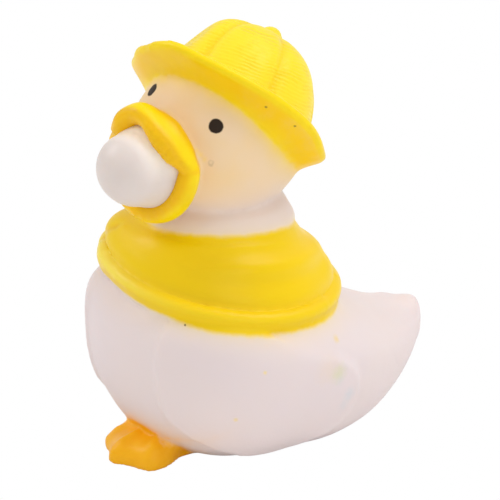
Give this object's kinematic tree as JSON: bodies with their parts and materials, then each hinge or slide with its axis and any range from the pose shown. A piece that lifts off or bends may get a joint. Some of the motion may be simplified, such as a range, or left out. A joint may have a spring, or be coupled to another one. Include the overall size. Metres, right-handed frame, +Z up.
{
  "type": "duck stress ball",
  "caption": "Soft squeeze duck in hat and cape, standing on a flat base, with a film bubble pushed out of its open bill.",
  "frame": {"origin": "on the flat base, straight below the neck", "axes": "+Z up, -Y the way the bill points, +X the duck's left side"},
  "size_m": [0.0458, 0.0666, 0.0706],
  "materials": {
    "duck_body": "satin",
    "bubble": "satin"
  },
  "bodies": {
    "root": {"duck_body": "duck_body", "bubble": "bubble"}
  },
  "joints": []
}
